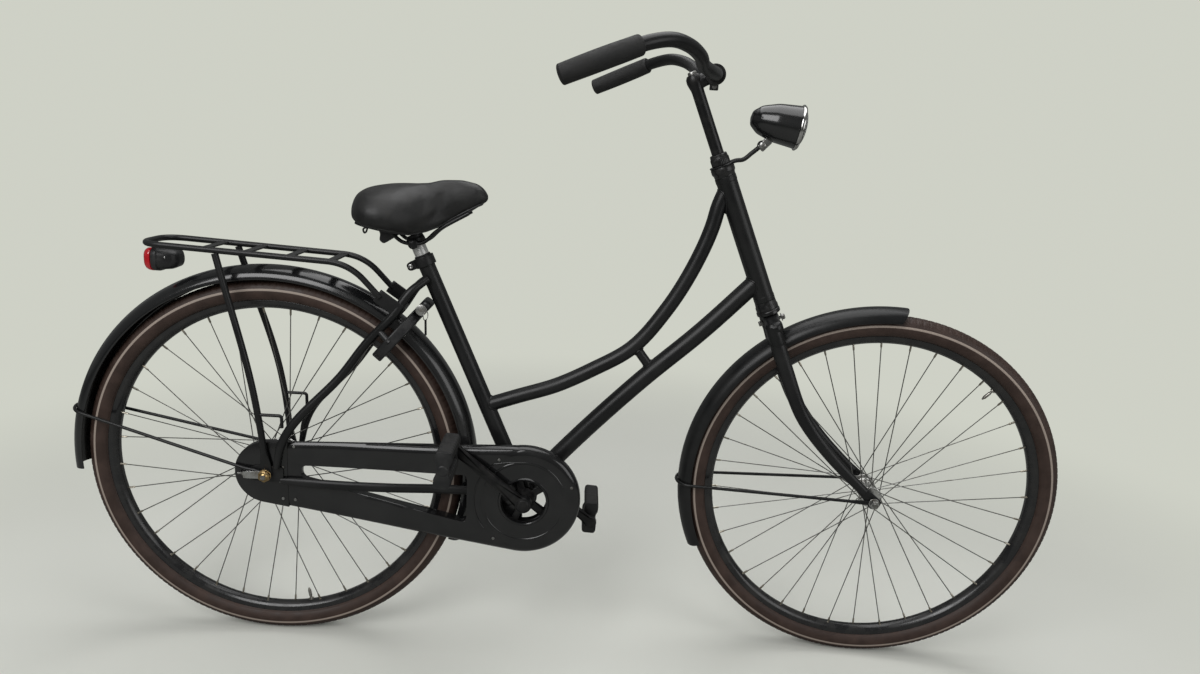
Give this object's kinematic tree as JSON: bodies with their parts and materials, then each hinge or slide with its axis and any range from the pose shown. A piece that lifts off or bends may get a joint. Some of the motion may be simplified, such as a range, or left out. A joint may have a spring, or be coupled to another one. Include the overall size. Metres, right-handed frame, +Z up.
{
  "type": "dutch city bike",
  "caption": "Step-through city bicycle with swept-back bar, enclosed chain, full fenders, rear carrier, lamps, ring lock and padded saddle.",
  "frame": {"origin": "the middle of the bounding box, on the ground under the tyres", "axes": "+X forwards, +Y to the rider's left, +Z up; the steering rests turned 5.6 degrees to the right, as pictured"},
  "size_m": [1.8844, 0.623, 1.17],
  "materials": {
    "satin_black_paint": "satin black powder coat",
    "gloss_black_paint": "gloss black enamel",
    "rim_black": "satin black",
    "bare_steel": "zinc plated, slightly dull",
    "chrome_plate": "bright plated",
    "brass_plate": "yellow passivated, worn",
    "tyre_brown": "dark reddish brown with a pale sidewall line",
    "black_rubber": "matt moulded rubber",
    "saddle_cover": "fine-grained black artificial leather",
    "black_plastic": "moulded",
    "red_lens": "clear red, ribbed inside",
    "clear_lens": "clear, ribbed inside"
  },
  "bodies": {
    "frame": {"head_tube": "satin_black_paint", "down_tube": "satin_black_paint", "swan_tube": "satin_black_paint", "seat_tube": "satin_black_paint", "bottom_bracket_shell": "satin_black_paint", "lower_headset_cup": "satin_black_paint", "upper_headset_cup": "satin_black_paint", "chain_stays": "satin_black_paint", "seat_stays": "satin_black_paint", "rear_axle": "bare_steel", "rear_axle_nut": "brass_plate", "brake_arm": "satin_black_paint", "chain_tensioner": "bare_steel", "drive_chain": "bare_steel", "chaincase_outer": "gloss_black_paint", "chaincase_inner": "gloss_black_paint", "chaincase_rear_cap": "gloss_black_paint", "bottom_bracket_cartridge": "bare_steel", "rear_fender": "gloss_black_paint", "rear_fender_stay": "satin_black_paint", "carrier_rack": "satin_black_paint", "carrier_strut_right": "satin_black_paint", "carrier_strut_left": "satin_black_paint", "tail_lamp_body": "black_plastic", "tail_lamp_lens": "red_lens", "ring_lock_body": "satin_black_paint", "lock_key": "bare_steel", "seat_clamp": "satin_black_paint"},
    "lock_shackle": {"lock_shackle": "bare_steel"},
    "seat": {"seatpost": "chrome_plate", "saddle_frame": "satin_black_paint", "saddle_cushion": "saddle_cover"},
    "steering": {"fork": "satin_black_paint", "front_axle": "bare_steel", "front_axle_nut": "bare_steel", "front_fender": "gloss_black_paint", "front_fender_stay": "satin_black_paint", "headset_lock_nut": "satin_black_paint", "lamp_bracket": "satin_black_paint"},
    "stem": {"stem": "satin_black_paint", "handlebar": "satin_black_paint", "grip_right": "black_rubber", "grip_left": "black_rubber"},
    "headlamp": {"lamp_shell": "gloss_black_paint", "lamp_rim": "chrome_plate", "lamp_lens": "clear_lens"},
    "front_wheel": {"front_tyre": "tyre_brown", "front_rim": "rim_black", "front_hub_with_spokes": "bare_steel"},
    "rear_wheel": {"rear_tyre": "tyre_brown", "rear_rim": "rim_black", "rear_hub_with_spokes": "bare_steel"},
    "sprocket": {"rear_sprocket": "bare_steel"},
    "crank": {"crank_right": "satin_black_paint", "crank_left": "satin_black_paint", "bottom_bracket_spindle": "bare_steel", "right_pedal_axle": "bare_steel", "left_pedal_axle": "bare_steel"},
    "right_pedal": {"right_pedal_body": "black_rubber"},
    "left_pedal": {"left_pedal_body": "black_rubber"}
  },
  "joints": [
    {"name": "steering_turn", "type": "hinge", "parent": "frame", "child": "steering", "pos_m": [0.51815, -0.01829, 0.32594], "axis": [-0.3955, 0, 0.9184], "range_deg": [-54.43, 65.57]},
    {"name": "stem_height", "type": "slide", "parent": "steering", "child": "stem", "axis": [-0.3955, 0, 0.9184], "range_m": [0, 0.05]},
    {"name": "headlamp_tilt", "type": "hinge", "parent": "steering", "child": "headlamp", "pos_m": [0.31082, -0.02579, 1.00179], "axis": [0.0891, 0.9953, 0.0384], "range_deg": [-20, 20]},
    {"name": "front_wheel_spin", "type": "hinge", "parent": "steering", "child": "front_wheel", "pos_m": [0.58762, -0.02567, 0.35586], "axis": [0.0891, 0.9953, 0.0384], "continuous": true},
    {"name": "rear_wheel_spin", "type": "hinge", "parent": "frame", "child": "rear_wheel", "pos_m": [-0.56005, -0.01829, 0.356], "axis": [0, 1, 0], "continuous": true},
    {"name": "crank_spin", "type": "hinge", "parent": "frame", "child": "crank", "pos_m": [-0.08205, -0.01829, 0.325], "axis": [0, 1, 0], "continuous": true},
    {"name": "sprocket_spin", "type": "hinge", "parent": "frame", "child": "sprocket", "pos_m": [-0.56005, -0.01829, 0.356], "axis": [0, 1, 0], "continuous": true},
    {"name": "right_pedal_spin", "type": "hinge", "parent": "crank", "child": "right_pedal", "pos_m": [-0.21417, -0.16029, 0.43198], "axis": [0, 1, 0], "continuous": true},
    {"name": "left_pedal_spin", "type": "hinge", "parent": "crank", "child": "left_pedal", "pos_m": [0.05007, 0.12371, 0.21802], "axis": [0, 1, 0], "continuous": true},
    {"name": "seat_height", "type": "slide", "parent": "frame", "child": "seat", "axis": [-0.405, 0, 0.9143], "range_m": [-0.012, 0.05]},
    {"name": "lock_shackle_slide", "type": "hinge", "parent": "frame", "child": "lock_shackle", "pos_m": [-0.33305, -0.01829, 0.61713], "axis": [0.7547, 0, -0.6561], "range_deg": [0, 88]}
  ],
  "couplings": [
    {"joint": "sprocket_spin", "follows": "crank_spin", "ratio": 2.2}
  ]
}
